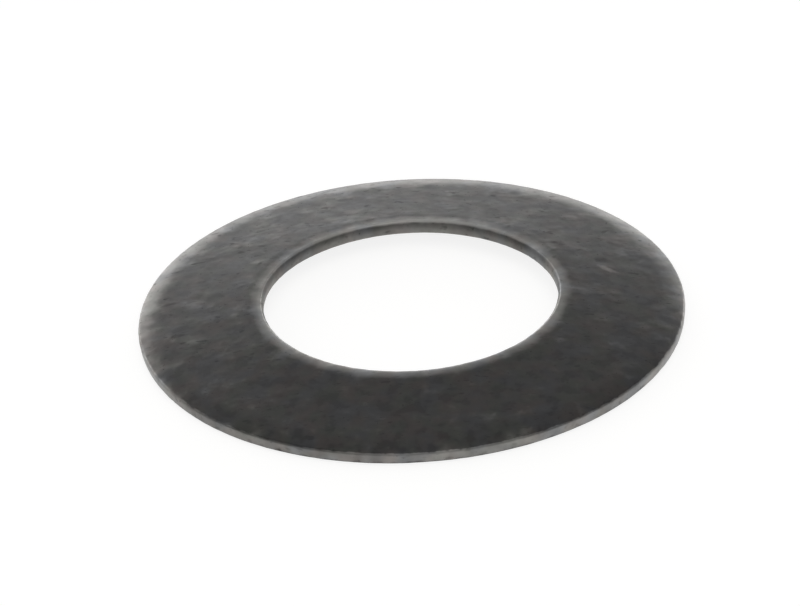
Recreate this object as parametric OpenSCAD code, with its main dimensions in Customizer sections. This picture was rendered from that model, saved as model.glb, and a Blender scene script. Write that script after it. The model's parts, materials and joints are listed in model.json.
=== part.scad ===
// Disc spring: a steel ring stamped from thin strip and pressed into a shallow cone.
// Its two faces are parallel cones. Blanking draws the top face down towards both cut
// edges in a soft rollover, and tumbling rounds all four corners of the section. The
// outside edge is cut square to the faces, so it leans in towards the bottom, and the
// bore has a straight land that runs on the mandrel.
// Millimetres, +Z up. The hollow side is down, and the origin is where the axis
// meets the surface that the spring lies on.

/* [Ring] */
// Outside diameter, over the rounded edge
outer_diameter = 38; // [36:0.5:60]
// Bore diameter, across the straight land
bore_diameter = 20.5; // [16:0.1:22]
// Thickness of the strip
thickness = 1.1; // [0.9:0.05:1.4]

/* [Cone] */
// Overall height of the unloaded spring
free_height = 2.1; // [1.8:0.05:2.7]

/* [Edges] */
// Radius of the section's four corners
corner_radius = 0.3; // [0.1:0.01:0.35]
// Radius of the rollovers
rollover_radius = 6.5; // [4:0.5:10]
// Degrees that the top face rolls over before the outside corner
outside_turn = 12.5; // [9:0.5:15]
// Degrees that it rolls over before the corner of the bore
bore_turn = 9; // [9:0.5:12]

/* [Hidden] */

// Facets of the preview: round the ring, round a corner's circle and round a rollover's
ring_facets = 160;
corner_facets = 28;
rollover_facets = 180;

// Straight faces lie this far inside the arcs that they run into, so that each pair
// crosses at one clear line.
overlap = 0.0002;

// From the centre of a corner's arc to the straight faces, and to the centre of the
// rollover behind it
to_face = corner_radius - overlap;
to_rollover = rollover_radius - corner_radius;

// Directions in a section that leans by a slope: down along the faces, square to them,
// and square to a rollover that has turned from there towards the outside
function along(slope) = [cos(slope), -sin(slope)];
function square_to(slope) = [sin(slope), cos(slope)];
function turned(slope, turn) = cos(turn) * square_to(slope) + sin(turn) * along(slope);

// The point at a distance from the axis that is in line with another along the faces
function in_line(point, slope, distance) =
    point - (point.x - distance) / cos(slope) * along(slope);

// Centres of the corner arcs and of the rollovers. The outside edge comes first, and the
// bore follows from it.
edge_core = thickness - 2 * corner_radius - to_rollover * (1 - cos(outside_turn));
bore_core = bore_diameter / 2 + to_face;
function high_outside(slope) =
    [outer_diameter / 2 - corner_radius, corner_radius + edge_core * cos(slope)];
function low_outside(slope) = high_outside(slope) - edge_core * square_to(slope);
function outside_rollover(slope) =
    high_outside(slope) - to_rollover * turned(slope, outside_turn);
function bore_rollover(slope) =
    in_line(outside_rollover(slope), slope,
            bore_core - to_rollover * turned(slope, -bore_turn).x);
function high_bore(slope) = bore_rollover(slope) + to_rollover * turned(slope, -bore_turn);
function low_bore(slope) = in_line(low_outside(slope), slope, bore_core);

// Slope of the cone. The ring is tallest on the rollover at the bore, which turns past
// level, and a few steps from a flat ring find the slope that brings it to free_height.
function rise_left(slope) =
    free_height - (bore_rollover(slope).y + rollover_radius - overlap);
function cone_slope(slope = 0, steps = 12) =
    steps == 0 ? slope
    : cone_slope(slope + 2 * atan2(rise_left(slope), outer_diameter - bore_diameter),
                 steps - 1);
slope = cone_slope();

// The skin of a rollover, from a little way up the flat face to the middle of its corner
module rollover(centre, corner, turn) {
    back = turn > 0 ? -2 : 2;
    intersection() {
        translate(centre)
            circle(rollover_radius - overlap, $fn = rollover_facets);
        polygon([
            corner,
            centre + 1.1 * rollover_radius * turned(slope, turn),
            centre + 1.1 * rollover_radius * turned(slope, back),
            centre + to_rollover * turned(slope, back),
        ]);
    }
}

module section() {
    low_out = low_outside(slope);
    high_out = high_outside(slope);
    high_in = high_bore(slope);
    low_in = low_bore(slope);
    face = (rollover_radius - 2 * overlap) * square_to(slope);
    polygon([
        low_in - to_face * square_to(slope),
        low_out - to_face * square_to(slope),
        low_out + to_face * along(slope),
        high_out + to_face * along(slope),
        high_out,
        outside_rollover(slope) + face,
        bore_rollover(slope) + face,
        high_in,
        high_in - [to_face, 0],
        low_in - [to_face, 0],
    ]);
    for (corner = [low_out, high_out, high_in, low_in])
        translate(corner)
            circle(corner_radius, $fn = corner_facets);
    rollover(outside_rollover(slope), high_out, outside_turn);
    rollover(bore_rollover(slope), high_in, -bore_turn);
}

module disc_spring() {
    color([0.19, 0.19, 0.20])
        rotate_extrude($fn = ring_facets)
            section();
}

disc_spring();
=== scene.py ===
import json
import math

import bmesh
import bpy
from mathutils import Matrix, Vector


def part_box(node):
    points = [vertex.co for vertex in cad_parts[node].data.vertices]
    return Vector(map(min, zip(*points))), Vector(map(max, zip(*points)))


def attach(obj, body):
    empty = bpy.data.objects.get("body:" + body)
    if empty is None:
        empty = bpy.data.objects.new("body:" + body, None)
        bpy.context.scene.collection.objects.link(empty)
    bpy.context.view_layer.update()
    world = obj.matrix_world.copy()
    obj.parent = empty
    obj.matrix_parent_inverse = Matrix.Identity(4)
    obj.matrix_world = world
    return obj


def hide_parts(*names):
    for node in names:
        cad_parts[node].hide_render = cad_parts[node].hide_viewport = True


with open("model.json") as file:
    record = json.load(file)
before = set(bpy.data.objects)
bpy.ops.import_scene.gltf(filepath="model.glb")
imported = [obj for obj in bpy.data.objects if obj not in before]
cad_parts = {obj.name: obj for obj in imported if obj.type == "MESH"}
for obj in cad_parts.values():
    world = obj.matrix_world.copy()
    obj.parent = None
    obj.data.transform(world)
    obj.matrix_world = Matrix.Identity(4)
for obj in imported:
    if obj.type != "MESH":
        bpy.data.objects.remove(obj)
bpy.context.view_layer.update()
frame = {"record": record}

# %% [markdown]
# # A disc spring
# The object is one steel ring. It is cut from thin strip and pressed into a shallow cone, so that
# it pushes back when it is squeezed flat. Everything here is in metres. The fixed frame that was
# just loaded says how large the ring is, where it stands and how wide its bore is. The frame's box
# is read, and its width and height are printed.

MM = 0.001
ring_low, ring_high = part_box("disc_spring")
free_height = 2.1 * MM
outer_radius = 19 * MM
bore_radius = frame["record"]["mounts"][0]["dims"]["r_mm"] * MM
print(f"ring in the frame: {ring_high.x - ring_low.x:.5f} m across, {ring_high.z:.5f} m tall")
print(f"bore: {2 * bore_radius:.5f} m")

# %% [markdown]
# ## The way the camera looks
# So small a part is shown best by a long lens from far away, which keeps the ellipse of the ring
# nearly regular. A camera could be tracked to the ring with a constraint, but then its roll could
# not be set. Here its three axes are worked out from the angle that it looks down at, a small pan
# and tilt that move the ring off the middle of the picture, and the roll.

# %% Right, up and back of the camera
camera_elevation = math.radians(30.1793)
camera_roll = math.radians(-3.3999)
camera_pan = math.radians(-0.1559)
camera_tilt = math.radians(0.2186)


def camera_axes():
    """The right, up and back directions of the camera."""
    level = Vector((1, 0, 0))
    ahead = Vector((0, math.cos(camera_elevation), -math.sin(camera_elevation)))
    over = level.cross(ahead)
    right = math.cos(camera_roll) * level + math.sin(camera_roll) * over
    up = math.cos(camera_roll) * over - math.sin(camera_roll) * level
    aim = (ahead + math.tan(camera_pan) * right + math.tan(camera_tilt) * up).normalized()
    right = (right - right.dot(aim) * aim).normalized()
    return right, right.cross(aim), -aim


print("camera looks along", [round(-part, 4) for part in camera_axes()[2]])

# %% [markdown]
# ## The camera
# The distance and the lens go together: twice as far with twice the lens gives a ring of the same
# size. From eight ring widths away, the far edge looks hardly smaller than the near one. The
# camera is set by one matrix, since its axes are known already.

# %% Camera
camera_distance = 8 * 2 * outer_radius
lens_length = 196.603
film_width = 36
bpy.ops.object.select_all(action="DESELECT")
bpy.ops.object.camera_add()
camera = bpy.context.object
camera.data.lens = lens_length
camera.data.sensor_width = film_width
camera.data.clip_start = 0.01
stand = camera_distance * Vector((0, -math.cos(camera_elevation), math.sin(camera_elevation)))
camera.matrix_world = Matrix.Translation(stand) @ Matrix(camera_axes()).transposed().to_4x4()
bpy.context.scene.camera = camera
print(f"camera: {camera_distance:.3f} m away, {math.degrees(camera_elevation):.1f} degrees up")

# %% [markdown]
# ## The section of the ring
# A disc spring is a solid of revolution, so only its section has to be drawn. Punching leaves its
# mark on that section: the punch and the die first pull the strip down beside the cut, so its upper
# face rolls over into each edge on a large radius, and tumbling then rounds the four sharp corners.
# The section is drawn flat, as the strip lies in the press, and is leaned into the cone later.

# %% Sizes of the strip and its edges
strip_thickness = 1.1 * MM
corner_radius = 0.3 * MM
rollover_radius = 6.5 * MM
outside_turn = math.radians(12.5)
bore_turn = math.radians(9)
to_rollover = rollover_radius - corner_radius


def flat_places(slope):
    """Where the outer corner's centre and the ends of the two rollovers lie along the strip."""
    lean, fall = math.cos(slope), math.sin(slope)
    rim = strip_thickness - 2 * corner_radius - to_rollover * (1 - math.cos(outside_turn))
    corner = (outer_radius - bore_radius - 2 * corner_radius - rim * fall) / lean
    land = strip_thickness - 2 * corner_radius - to_rollover * (1 - math.cos(bore_turn))
    bore_end = to_rollover * math.sin(bore_turn) - land * fall / lean
    return corner, corner - to_rollover * math.sin(outside_turn), bore_end


print("places along a level strip:", [round(place / MM, 3) for place in flat_places(0)], "mm")

# %% [markdown]
# ## How steep the cone is
# The free height is what is measured on a real spring, and the slope follows from it. The height
# of the leaned section is easy to write down for a given slope but not the other way round, so the
# slope is corrected a few times until the height is right.

# %% Slope of the cone
corrections = 12


def leaned_height(slope):
    """The height of the ring whose strip leans by this slope."""
    corner, outside_end, bore_end = flat_places(slope)
    upright = (strip_thickness - rollover_radius - corner_radius) * math.cos(slope)
    return (corner - bore_end) * math.sin(slope) + upright + rollover_radius + corner_radius


slope = 0.0
for _ in range(corrections):
    slope += (free_height - leaned_height(slope)) / (outer_radius - bore_radius)
print(f"cone: {math.degrees(slope):.3f} degrees")

# %% [markdown]
# ## Picking by place
# By hand, a point is picked by clicking on it. A script picks it by where it is, so it needs two
# helpers: one that selects the points or edges which pass a test, and one that says how far the
# points reach along an axis. Both read the mesh as it stands in edit mode.

# %% Points and edges picked by a test
def pick(piece, test, kind="VERT"):
    """Selects the points or edges whose ends all pass the test, and returns where the ends are."""
    bpy.ops.mesh.select_all(action="DESELECT")
    bpy.ops.mesh.select_mode(type=kind)
    mesh = bmesh.from_edit_mesh(piece.data)
    parts = mesh.verts if kind == "VERT" else mesh.edges
    picked = []
    for part in parts:
        ends = [part.co.copy()] if kind == "VERT" else [vert.co.copy() for vert in part.verts]
        part.select_set(all(test(end) for end in ends))
        if part.select:
            picked.append(ends)
    bmesh.update_edit_mesh(piece.data)
    return picked


def spread(piece, axis):
    """The lowest and highest place of the piece's points along one axis, in edit mode."""
    places = [vert.co[axis] for vert in bmesh.from_edit_mesh(piece.data).verts]
    return min(places), max(places)


# %% [markdown]
# ## The strip as a bare outline
# The outline starts as a plane as long and as thick as the strip, stood upright, with its face
# taken away so that only the edges stay. It could also be typed in as a list of points, but a
# plane is quick to check by eye, and bevels can round it later.

# %% Plane for the strip
corner_place, outside_end, bore_end = flat_places(slope)
strip_end = corner_place + corner_radius
bpy.ops.object.select_all(action="DESELECT")
bpy.ops.mesh.primitive_plane_add(size=1, rotation=(math.pi / 2, 0, 0))
ring = bpy.context.object
ring.name = ring.data.name = "spring_ring"
bpy.ops.object.transform_apply(location=True, rotation=True, scale=True)
bpy.ops.object.mode_set(mode="EDIT")
bpy.ops.mesh.select_all(action="SELECT")
bpy.ops.transform.resize(value=(strip_end, 1, strip_thickness))
bpy.ops.transform.translate(value=(strip_end / 2, 0, strip_thickness / 2))
bpy.ops.mesh.delete(type="ONLY_FACE")
print(f"strip: {strip_end / MM:.3f} mm long before it is leaned")

# %% [markdown]
# ## Where the straight lines meet
# Drawn with straight lines only, the section would bend where each rollover begins and have four
# corners. Those six places follow from the radii and turns, since an arc starts and ends at its
# radius times the tangent of half its turn from where its two lines meet.

# %% Places of the bends and corners
lean, fall = math.cos(slope), math.sin(slope)
bore_bend = bore_end - rollover_radius * math.tan(bore_turn / 2)
outside_bend = outside_end + rollover_radius * math.tan(outside_turn / 2)
drop_outside = (strip_end - outside_bend) * math.tan(outside_turn)
under = strip_thickness - corner_radius - bore_bend * math.tan(bore_turn)
bore_top = -(corner_radius + under * fall) / (lean + math.tan(bore_turn) * fall)
bore_foot = -corner_radius * (1 - fall) / lean
drop_bore = (bore_bend - bore_top) * math.tan(bore_turn)
print(f"the straight lines drop {drop_outside / MM:.2f} mm outside and {drop_bore / MM:.2f} mm inside")

# %% [markdown]
# ## Moving the points there
# The top edge of the strip is cut twice, which gives the two bends their points. Then each of the
# points is picked by the share of the strip's length at which it lies, and moved to its place.
# Only the outer corner at the bottom is right already.

# %% Points moved to their places
def is_high(place):
    return place.z > strip_thickness / 2


def between(high, start, end):
    """A test for the point on the top or bottom edge, between two shares of the strip's length."""
    return lambda place: is_high(place) == high and start < place.x / strip_end < end


def move_point(test, x, z):
    """Moves the one point that passes the test to a new place in the section."""
    ((point,),) = pick(ring, test)
    bpy.ops.transform.translate(value=(x - point.x, 0, z - point.z))


at_bore = (-0.5, 0.01)
at_outside = (0.99, 1.5)
pick(ring, is_high, "EDGE")
bpy.ops.mesh.subdivide(number_cuts=2)
move_point(between(True, 0.1, 0.5), bore_bend, strip_thickness)
move_point(between(True, 0.5, 0.9), outside_bend, strip_thickness)
move_point(between(True, *at_outside), strip_end, strip_thickness - drop_outside)
move_point(between(True, *at_bore), bore_top, strip_thickness - drop_bore)
move_point(between(False, *at_bore), bore_foot, 0)
print("section spans", [round(place / MM, 3) for place in spread(ring, 0)], "mm along the strip")

# %% [markdown]
# ## Rounding it
# A bevel on a point cuts both of its edges back by the same offset and puts an arc between them,
# as exactly as a compass would. The offset is again the radius times the tangent of half the turn,
# so each corner can be given its real radius. The two wide arcs are the rollovers and the four
# tight ones are the tumbled corners.

# %% Bevels on the outline
same_point = 1e-6


def round_off(test, turn, radius, steps):
    """Rounds the one point that passes the test to an arc of the given radius."""
    found = pick(ring, test)
    offset = radius * math.tan(turn / 2)
    bpy.ops.mesh.bevel(offset=offset, segments=steps, profile=0.5, affect="VERTICES")
    print(f"rounded {len(found)} corner to {radius / MM:.1f} mm")


def beside(x):
    """A test for the point on the top edge at this place along the strip."""
    return lambda place: is_high(place) and abs(place.x - x) < same_point


quarter = math.pi / 2
outside_steps = 14
bore_steps = 12
corner_steps = 10
round_off(beside(outside_bend), outside_turn, rollover_radius, outside_steps)
round_off(beside(bore_bend), bore_turn, rollover_radius, bore_steps)
round_off(beside(strip_end), quarter - outside_turn, corner_radius, corner_steps)
round_off(beside(bore_top), quarter - bore_turn + slope, corner_radius, corner_steps)
round_off(between(False, *at_outside), quarter, corner_radius, corner_steps)
round_off(between(False, *at_bore), quarter - slope, corner_radius, corner_steps)

# %% [markdown]
# ## Short steps on the long sides
# The two long sides of the section become the faces of the ring. They are straight, so two points
# would do for their shape, but the faint unevenness of the steel is pressed into them later, and
# that needs points to move. A subdivision of just those two edges gives them.

# %% Long sides cut into steps
long_side = 4 * MM
side_cuts = 30
very_near = 1e-7


def at_ends(side):
    """A test for the two ends of one side of the outline."""
    return lambda place: min((place - end).length for end in side) < very_near


bpy.ops.mesh.select_all(action="SELECT")
bpy.ops.mesh.remove_doubles(threshold=same_point)
for side in pick(ring, lambda place: True, "EDGE"):
    if (side[0] - side[1]).length > long_side:
        pick(ring, at_ends(side), "EDGE")
        bpy.ops.mesh.subdivide(number_cuts=side_cuts)
bpy.ops.mesh.select_all(action="SELECT")
print("outline:", len(bmesh.from_edit_mesh(ring.data).verts), "points")

# %% [markdown]
# ## Leaning the section
# The press gives the strip its cone in the same stroke. Here the whole outline is leaned about its
# lower inner corner, and then moved until it touches the outer radius and the table, because
# rounding the corners has shifted its lowest and outermost points a little.

# %% Lean
bpy.ops.transform.rotate(value=-slope, orient_axis="Y", center_override=(0, 0, 0))
outermost = spread(ring, 0)[1]
lowest = spread(ring, 2)[0]
bpy.ops.transform.translate(value=(outer_radius - outermost, 0, -lowest))
print("section spans", [round(v / MM, 4) for v in (*spread(ring, 0), *spread(ring, 2))], "mm")

# %% [markdown]
# ## Turning it into a ring
# Spin would turn the outline round the axis, but Screw with no rise makes the same skin much
# faster and can be applied as a modifier. The steps are half a degree, short enough for a smooth
# outline in a close view. Doubles are merged and the normals made to point outwards, which is what
# a closed solid needs, and the volume and the number of open edges show whether it is one.

# %% Screw
turn_steps = 720
bpy.ops.object.mode_set(mode="OBJECT")
bpy.ops.object.modifier_add(type="SCREW")
turning = ring.modifiers[-1]
turning.axis = "Z"
turning.steps = turning.render_steps = turn_steps
turning.use_merge_vertices = True
turning.merge_threshold = same_point
turning.use_smooth_shade = True
bpy.ops.object.modifier_apply(modifier=turning.name)
bpy.ops.object.mode_set(mode="EDIT")
bpy.ops.mesh.select_all(action="SELECT")
bpy.ops.mesh.remove_doubles(threshold=very_near)
bpy.ops.mesh.normals_make_consistent(inside=False)
shell = bmesh.from_edit_mesh(ring.data)
volume = shell.calc_volume(signed=True) / MM ** 3
open_edges = sum(not edge.is_manifold for edge in shell.edges)
bpy.ops.object.mode_set(mode="OBJECT")
print(f"ring: {len(ring.data.polygons)} faces, {volume:.1f} mm3, {open_edges} open edges")

# %% [markdown]
# ## Which points lie on the cut edges
# The steel tears a little as it is punched, so the rim and the bore are rougher than the faces.
# A vertex group marks them, with a weight that fades over the first third of a millimetre. The
# weight could be painted by hand, but here it follows from the distance to the axis alone.

# %% Vertex group of the cut edges
torn_width = 0.35 * MM
edge_group = ring.vertex_groups.new(name="cut_edges")
for vert in ring.data.vertices:
    from_axis = math.hypot(vert.co.x, vert.co.y)
    from_edge = min(outer_radius - from_axis, from_axis - bore_radius)
    weight = 1 - from_edge / torn_width
    if weight > 0:
        edge_group.add([vert.index], min(weight, 1), "REPLACE")
print(f"cut edges: {torn_width / MM:.2f} mm wide, with a weight that fades inwards")

# %% [markdown]
# ## The unevenness that pressing and tumbling leave
# No pressed part is as true as a drawn one. Clouds, a pattern made by a formula, are pressed into
# the mesh with Displace: a slow waver over the whole ring, about a hundredth of a millimetre high,
# which makes the reflections drift, the finer marks of worn tooling, and a quick tear that the
# vertex group keeps to the cut edges. A bump in the material would not show in the outline.

# %% Clouds pressed in
def press_uneven(name, size, height, group=""):
    """Moves the ring's points along their normals by a cloud pattern, for good."""
    cloud = bpy.data.textures.new(name, "CLOUDS")
    cloud.noise_scale = size
    cloud.noise_depth = 1
    bpy.ops.object.modifier_add(type="DISPLACE")
    pressing = ring.modifiers[-1]
    pressing.texture = cloud
    pressing.texture_coords = "LOCAL"
    pressing.strength = height
    pressing.mid_level = 0.5
    pressing.vertex_group = group
    bpy.ops.object.modifier_apply(modifier=pressing.name)
    print(f"pressed in {name}: clouds {size / MM:.2f} mm wide, {height / MM:.3f} mm high")


press_uneven("slow_waver", 5 * MM, 0.018 * MM)
press_uneven("worn_tooling", 1.1 * MM, 0.014 * MM)
press_uneven("torn_edge", 0.55 * MM, 0.03 * MM, "cut_edges")
ring.vertex_groups.clear()

# %% [markdown]
# ## Sums on shader sockets
# A pattern in a material is arithmetic: noise times a mask, one minus a mask, and so on. Joining
# Math nodes by hand for that is slow to read. This small class wraps one socket, so that a sum
# written in Python adds its Math nodes by itself.

# %% A socket that can be added and multiplied
class Wire:
    """One shader output on which sums are written as in Python."""

    def __init__(self, bench, socket):
        self.bench = bench
        self.socket = socket

    def sum(self, operation, first, second):
        return self.bench.add("ShaderNodeMath", {"operation": operation}, {0: first, 1: second})

    def __add__(self, other):
        return self.sum("ADD", self, other)

    def __radd__(self, other):
        return self.sum("ADD", other, self)

    def __sub__(self, other):
        return self.sum("SUBTRACT", self, other)

    def __rsub__(self, other):
        return self.sum("SUBTRACT", other, self)

    def __mul__(self, other):
        return self.sum("MULTIPLY", self, other)

    def __rmul__(self, other):
        return self.sum("MULTIPLY", other, self)


# %% [markdown]
# ## A bench for the nodes
# All other nodes come from one method: it takes the node's type, then its settings, then a value
# or a wire for each of its sockets, and gives back one output. On it stand the few steps that a
# finish needs again and again: a soft step, a blend of two colours, a distance.

# %% A bench that holds the nodes of one material
class Bench:
    """Adds nodes to one material or world: type, settings, then values or wires of the sockets."""

    def __init__(self, owner):
        owner.use_nodes = True
        self.tree = owner.node_tree
        self.tree.nodes.clear()

    def add(self, kind, settings=None, sockets=None, output=0):
        """Adds one node and returns one of its outputs, or nothing if it has none."""
        node = self.tree.nodes.new(kind)
        for name, value in (settings or {}).items():
            setattr(node, name, value)
        for name, value in (sockets or {}).items():
            if isinstance(value, Wire):
                self.tree.links.new(value.socket, node.inputs[name])
            else:
                node.inputs[name].default_value = value
        return Wire(self, node.outputs[output]) if node.outputs else None

    def rise(self, value, low, high, bottom=0.0, top=1.0):
        """A soft step of the value, from bottom at low to top at high."""
        settings = {"interpolation_type": "SMOOTHSTEP", "clamp": True}
        sockets = {0: value, 1: low, 2: high, 3: bottom, 4: top}
        return self.add("ShaderNodeMapRange", settings, sockets)

    def mix(self, share, first, second):
        """A colour between two colours."""
        return self.add("ShaderNodeMix", {"data_type": "RGBA"}, {0: share, 6: first, 7: second}, 2)

    def most(self, first, second):
        """The larger of two values."""
        return self.add("ShaderNodeMath", {"operation": "MAXIMUM"}, {0: first, 1: second})

    def toward(self, place, direction):
        """How far a place lies in one direction."""
        settings = {"operation": "DOT_PRODUCT"}
        return self.add("ShaderNodeVectorMath", settings, {0: place, 1: direction}, "Value")

    def length(self, place):
        """How far a place is from the middle."""
        return self.add("ShaderNodeVectorMath", {"operation": "LENGTH"}, {0: place}, "Value")


# %% [markdown]
# ## Blackened steel
# The spring is hardened and then blackened: a bath turns its skin to a dull dark oxide that holds
# a little oil. Where springs rub on each other in the tumbler, on the rim, on the rollovers and
# round the bore, the bare steel begins to show through.
# A painted picture could carry all that, but it would have seams. Noise read at the object's own
# coordinates has none. So first it is worked out where a point lies, in millimetres: how far to
# the right, how far back, how high, and how far from the axis.

# %% Where a point lies on the ring
blackened = bpy.data.materials.new("blackened_steel")
steel = Bench(blackened)
bore = bore_radius / MM
rim = outer_radius / MM
object_place = steel.add("ShaderNodeTexCoord", output="Object")
larger = {"operation": "SCALE"}
flatten = {"operation": "MULTIPLY"}
place = steel.add("ShaderNodeVectorMath", larger, {0: object_place, "Scale": 1 / MM})
level_place = steel.add("ShaderNodeVectorMath", flatten, {0: place, 1: (1, 1, 0)})
reach = steel.length(level_place)
right = steel.toward(place, (1, 0, 0))
back = steel.toward(place, (0, 1, 0))
height = steel.toward(place, (0, 0, 1))
print(f"the finish is measured in millimetres: bore at {bore:.2f}, rim at {rim:.2f}")

# %% [markdown]
# ## Noise of a given grain
# Everything that a bath, rolls and a tumbler leave is irregular, so it starts from noise. What
# matters is how wide its blots are in millimetres, since that tells pits from clouds. The scale of
# the noise follows from that width, and each pattern is shifted, so that no two fall together.

# %% Noise
def grain(size, stretch=1.0, detail=2.0, shift=0.0):
    """Noise from 0 to 1 with blots size millimetres wide, or size / stretch from left to right."""
    scale = (stretch / size, 1 / size, 1 / size)
    sockets = {0: place, 1: (shift, 2 * shift, 3 * shift), 3: scale}
    moved = steel.add("ShaderNodeMapping", {"vector_type": "POINT"}, sockets)
    sockets = {"Vector": moved, "Scale": 1.0, "Detail": detail, "Roughness": 0.5}
    return steel.add("ShaderNodeTexNoise", None, sockets)


break_width = 0.7
breaks = grain(break_width, detail=3.0, shift=3.0)
ragged = breaks - 0.5
print(f"breaks in the rubbed steel: about {break_width} mm wide")

# %% [markdown]
# ## Steel rubbed bare on the rollover and the rim
# The tumbler rubs the outside most. The rollover is bare in a soft band, and on the rim the bare
# band begins sharply at the edge, broken up by noise. How bare each band is also changes round the
# ring, the rollover more at the back and the left, the rim more at the front right: that is painted
# sheen, which makes those sides shine brighter. Edge wear can be baked from the mesh's curvature,
# but a ring is so regular that the distance from its axis says the same and needs no bake.

# %% Rubbed rollover and rim
# Painted sheen: the rollover's bare share is set by side, higher at the back and the left, so those
# edges shine brighter.
roll_share = steel.rise(back, -14.0, 4.0, bottom=0.06, top=0.29)
roll_share = roll_share + steel.rise(back, 14.0, 18.5, top=0.11)
roll_share = roll_share + steel.rise(right, -12.0, -18.5, top=0.13)
share_per_mm = steel.rise(back, 4.0, 13.0, bottom=-0.0022, top=0.0063)
roll_share = roll_share + right * share_per_mm
roll_place = reach + back * 0.06 + ragged * 0.1
roll_rub_and_sheen = steel.rise(roll_place, rim - 1.8, rim + 0.3) * roll_share
# Painted sheen: the rim's bare share rises towards the front right, so that side of the rim shines
# brighter.
front_right = steel.toward(place, (1, -0.35, 0))
rim_share = steel.rise(front_right, -18.0, 18.0, bottom=0.28, top=0.53)
rim_rub_and_sheen = steel.rise(reach + ragged * 0.16, rim - 0.12, rim - 0.04) * rim_share
print("rubbed: the last 1.8 mm of the face and the whole rim")

# %% [markdown]
# ## Steel rubbed bare round the bore
# Springs are stacked on a rod, and it polishes the top arris of the bore, where the face turns
# into the wall. The arris is therefore the brightest line inside. Its bare share is higher and wider
# at the back and lower at the right, which is painted sheen that makes the back of the arris shine
# brighter.
# The wall below it is a punched cut and only half bare. One mask says what is wall, and one
# minus that mask is the face. The wall is barer at the left and the right, and a square, which has
# no sign, picks out both sides at once.

# %% Rubbed bore
at_back = steel.rise(back, 2.0, 9.0)
at_front = steel.rise(back, 0.0, -9.0)
arris_place = reach + ragged * 0.06
on_wall = steel.rise(arris_place + at_back * 0.07, bore + 0.18, bore + 0.09)
arris_band = steel.rise(arris_place - at_front * 0.2, bore + 1.2, bore + 0.15)
# Painted sheen: the arris's bare share is higher at the back and lower at the right, so the back of
# the arris shines brighter.
arris_share = steel.rise(back, 7.8, 10.6, bottom=0.55, top=0.7)
arris_line = steel.rise(reach, bore + 0.55, bore + 0.2) * steel.rise(right, 10.0, 7.5, top=0.25)
arris_rub_and_sheen = (1 - on_wall) * arris_band * (arris_share + arris_line)
high_share = steel.rise(height, 1.85, 1.4, top=0.3)
both_sides = right * right
side_share = steel.rise(both_sides, 70.0, 104.0, top=0.3)
wall_rub = on_wall * (0.28 + high_share + side_share)
# The sum carries the wear of the edges and the painted sheen that is set by side.
rub_and_sheen = roll_rub_and_sheen + rim_rub_and_sheen + arris_rub_and_sheen + wall_rub
print("rubbed: the first 1.2 mm of the face and the wall of the bore")

# %% [markdown]
# ## What the bath and the rolls leave
# A blackening bath never takes evenly. It leaves a broad mottle, clouds and lighter blots, and
# the strip under it brings small scores, pits and a few glints of its own. Each is noise of its
# own width. The sharp ones are the peaks of the noise, cut out by a soft step, and the others are
# used as they are.

# %% Mottle, scores and dust
mottle = grain(2.1, 0.9, shift=7.0)
patches = steel.rise(mottle, 0.45, 0.72)
clouds = grain(0.95, 1.2, detail=1.0, shift=9.0)
blots = grain(1.15, 1.1, shift=63.0)
dust = grain(0.14, detail=1.0, shift=17.0)
scores = steel.rise(grain(0.42, 0.55, detail=1.0, shift=29.0), 0.64, 0.78)
glints = steel.rise(grain(0.6, 0.8, detail=1.0, shift=37.0), 0.62, 0.78)
specks = steel.rise(grain(0.2, detail=0.0, shift=53.0), 0.76, 0.84)
pits = scores + specks
print("bath and rolls: seven patterns, from 0.14 to 2.1 mm wide")

# %% [markdown]
# ## Scuffs and nicks
# This ring has been handled: it carries a few light scuffs and a few dark nicks, each at its own
# place. A scuff could be a thin sheet laid on top, but it is only a change of the skin, so it is a
# soft oval in the material. A Mapping node centres, turns and sizes the oval, and the noise that
# breaks up the rubbed edges makes its outline ragged too. In depth each oval is far larger than
# the ring, so that the slope of the face doesn't cut it off.

# %% Soft ovals at given places
whole_depth = 50


def marks(ovals):
    """The sum of soft ragged ovals: place and half sizes in millimetres, turn, strength."""
    total = 0.0
    for x, y, half_length, half_width, turn, strength in ovals:
        turned = (0, 0, math.radians(turn))
        sockets = {0: place, 1: (x, y, 0), 2: turned, 3: (half_length, half_width, whole_depth)}
        local = steel.add("ShaderNodeMapping", {"vector_type": "TEXTURE"}, sockets)
        total = total + steel.rise(steel.length(local) + ragged * 1.2, 1.0, 0.3) * strength
    return total


right_scuffs = ((14.0, 2.4, 1.3, 0.4, -38, 1.8), (15.1, 3.4, 1.5, 0.9, 20, 0.45))
front_scuffs = ((-0.6, -15.3, 1.1, 0.7, 0, 0.5), (8.4, -13.1, 1.0, 0.7, 10, 0.5))
faint_scuff = (11.9, -1.9, 0.9, 0.8, 0, 0.45)
scuffs = marks((*right_scuffs, *front_scuffs, faint_scuff))
right_nicks = ((13.4, 3.75, 0.8, 0.5, 0, 1.0), (10.6, 5.9, 0.7, 0.6, 0, 0.6))
left_nicks = ((-16.1, -2.8, 0.8, 0.3, 5, 1.0), (-16.9, 1.7, 0.9, 0.25, 8, 0.7))
back_nick = (-11.8, 8.0, 0.35, 0.3, 0, 1.0)
nicks = marks((*right_nicks, *left_nicks, back_nick))
print("marks: 5 scuffs and 5 nicks")

# %% [markdown]
# ## How much steel shows
# All of this comes together in one value from 0, whole oxide, to 1, bare steel. The rubbed edges,
# with their painted sheen, count most. Over the faces it stays near zero: the bath's patterns let only
# a trace of the steel through, which is what keeps the black from looking like paint, and a painted
# sheen makes the face by the bore a little barer at the back. Pits and nicks hold more oxide.

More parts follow.
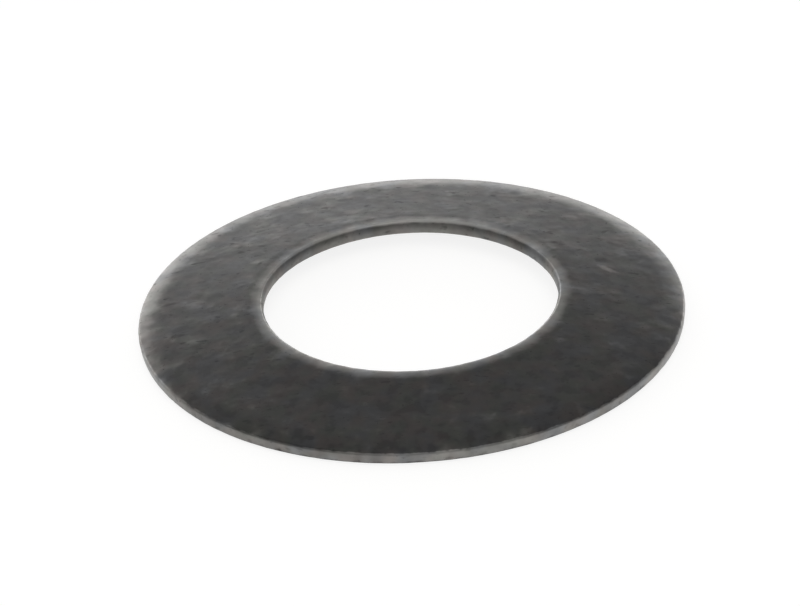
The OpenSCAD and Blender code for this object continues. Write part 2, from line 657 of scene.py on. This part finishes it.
# %% Share of bare steel
# Painted sheen: the face within about 2.5 mm of the bore is made a little barer at the back only, so
# it shines brighter there.
painted_sheen_by_bore = steel.rise(reach, bore + 2.55, bore + 0.95) * at_back
bath_and_sheen = 0.044 + painted_sheen_by_bore * 0.04 + patches * 0.12 + (blots - 0.5) * 0.46 + glints * 0.06
shown = rub_and_sheen * (0.87 + breaks * 0.26) + bath_and_sheen + scuffs * 0.15 - pits * 0.08 - nicks * 0.12
bare = steel.add("ShaderNodeClamp", None, {"Value": shown})
print("share of bare steel: from 0 to 1, by", len(steel.tree.nodes), "nodes so far")

# %% [markdown]
# ## Its colours
# Oxide isn't one black: it drifts from olive to brown and violet over a millimetre or two, and
# the steel under it has the same drift, much fainter. Two broad noises choose the tint, and the
# share of bare steel then blends the oxide's colour into the steel's.

# %% Tints
brown_share = steel.rise(grain(1.6, detail=1.0, shift=41.0), 0.35, 0.65)
violet_share = steel.rise(grain(1.9, detail=1.0, shift=71.0), 0.4, 0.7)


def tinted(olive, brown, violet):
    """A colour that drifts between three tints across the ring."""
    return steel.mix(violet_share, steel.mix(brown_share, olive, brown), violet)


oxide = tinted((0.0192, 0.0208, 0.0176, 1), (0.0242, 0.019, 0.0182, 1), (0.0194, 0.0193, 0.0216, 1))
grey = tinted((0.362, 0.358, 0.336, 1), (0.372, 0.353, 0.336, 1), (0.35, 0.355, 0.358, 1))
colour = steel.mix(bare, oxide, grey)
print("colour: black oxide in three tints over grey steel")

# %% [markdown]
# ## Gloss and relief
# An oiled oxide is satin: it mirrors the light behind it softly. Pits, nicks and the torn wall of
# the bore are duller, and rubbed steel is a little smoother. The same patterns also raise and
# lower the surface by a few thousandths of a millimetre, which is too fine for the mesh and goes
# into a Bump node. It is damped on the rollover, where tumbling has smoothed the skin.

# %% Roughness and bump
metal = steel.rise(bare, 0.0, 0.17)
torn = steel.rise(reach, bore + 0.17, bore + 0.09)
rough = 0.36 + clouds * 0.06 + dust * 0.03 + (pits + nicks) * 0.15 + torn * 0.3 - rub_and_sheen * 0.05
tumbled = steel.rise(reach, rim - 2.2, rim - 0.6, bottom=1.0, top=0.35)
raised = clouds * (1.2 + patches * 2.0) * tumbled + mottle * 1.2 + dust * 0.05
relief = raised - pits * 0.15 - nicks * 0.5 - scuffs * 0.15
depth = 0.018 * MM
bump = steel.add("ShaderNodeBump", None, {"Strength": 0.6, "Distance": depth, "Height": relief})
print(f"relief: {depth / MM:.3f} mm for a full step of the pattern")

# %% [markdown]
# ## The steel on the ring
# One Principled shader takes it all. Its metal share follows the bare steel, because oxide mirrors
# like a dull stone and steel like a metal. The ring then stands in for the frame's plain one and
# rides on the one body there is.

# %% Shader
gloss = {"Metallic": metal, "Roughness": rough, "IOR": 1.37, "Normal": bump}
shader = steel.add("ShaderNodeBsdfPrincipled", None, {"Base Color": colour, **gloss})
steel.add("ShaderNodeOutputMaterial", None, {"Surface": shader})
ring.data.materials.clear()
ring.data.materials.append(blackened)
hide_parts("disc_spring")
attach(ring, "root")
print("blackened steel:", len(steel.tree.nodes), "nodes")

# %% [markdown]
# ## The floor
# The ring lies on white paper. Paper lit until it is white would throw too much light up at the
# ring, so its own colour is grey, which keeps the shadow, and a glow that only the camera and
# reflections see lifts it to white.

# %% Floor
floor_width = 4
paper_colour = (0.262, 0.258, 0.25, 1)
floor_glow = 0.84
bpy.ops.object.select_all(action="DESELECT")
bpy.ops.mesh.primitive_plane_add(size=floor_width)
floor = bpy.context.object
floor.name = "floor"
white_paper = bpy.data.materials.new("white_paper")
paper = Bench(white_paper)
seen = paper.add("ShaderNodeLightPath", output="Is Camera Ray")
for ray in ("Is Glossy Ray", "Is Transmission Ray"):
    seen = paper.most(seen, paper.add("ShaderNodeLightPath", output=ray))
glowing = {"Color": (1, 1, 1, 1), "Strength": seen * floor_glow}
sheet = paper.add("ShaderNodeBsdfDiffuse", None, {"Color": paper_colour})
glow = paper.add("ShaderNodeEmission", None, glowing)
both = paper.add("ShaderNodeAddShader", None, {0: sheet, 1: glow})
paper.add("ShaderNodeOutputMaterial", None, {"Surface": both})
floor.data.materials.append(white_paper)
print(f"floor: {floor_width} m wide, glow {floor_glow}")

# %% [markdown]
# ## Soft lights
# Satin black steel shows little colour of its own. What gives it shape is what it mirrors, so it
# needs wide soft lights, not points. Area lamps could do it, but they would stand in the picture
# from some sides. A soft round patch in the world is infinitely far away, is never in the way, and
# needs only a direction, a radius and a strength.

# %% A soft light in the world
studio = bpy.data.worlds.new("studio")
bpy.context.scene.world = studio
sky = Bench(studio)
direction = sky.add("ShaderNodeTexCoord", output="Generated")


def soft_light(azimuth, elevation, radius, strength):
    """A soft round light far away: azimuth from the back to the right, in degrees."""
    a, e = math.radians(azimuth), math.radians(elevation)
    aim = (math.cos(e) * math.sin(a), math.cos(e) * math.cos(a), math.sin(e))
    edge = math.cos(math.radians(radius))
    core = math.cos(math.radians(radius / 2))
    return sky.rise(sky.toward(direction, aim), edge, core) * strength


# %% [markdown]
# ## The studio
# The room is pale all over. The strongest lights stand low behind the ring, because that is what
# its far faces and rounded edges mirror towards the camera. Weaker ones higher up behind, at the
# sides, above and in front keep the near edge and the rim from going black.

# %% World
low_behind = ((0, 0, 26, 1.18), (30, 0, 26, 2.42), (330, 0, 26, 1.2), (330, 0, 40, 0.8))
high_behind = ((335, 22, 20, 0.3), (0, 45, 26, 0.18), (0, 72, 20, 0.5))
at_the_sides = ((60, 30, 26, 0.3), (300, 28, 26, 0.85), (120, 65, 26, 0.4))
above_and_in_front = ((0, 90, 22, 0.6), (180, 45, 40, 0.56))
lamps = (*low_behind, *high_behind, *at_the_sides, *above_and_in_front)
room = 0.25
near_horizon = sky.rise(sky.toward(direction, (0, 0, 1)), 0.1, 0.03, top=0.4)
light = room + near_horizon
for lamp in lamps:
    light = light + soft_light(*lamp)
backdrop = sky.add("ShaderNodeBackground", None, {"Color": (1, 1, 1, 1), "Strength": light})
sky.add("ShaderNodeOutputWorld", None, {"Surface": backdrop})
bpy.context.scene.view_settings.view_transform = "Standard"
print("studio:", len(lamps), "soft lights")
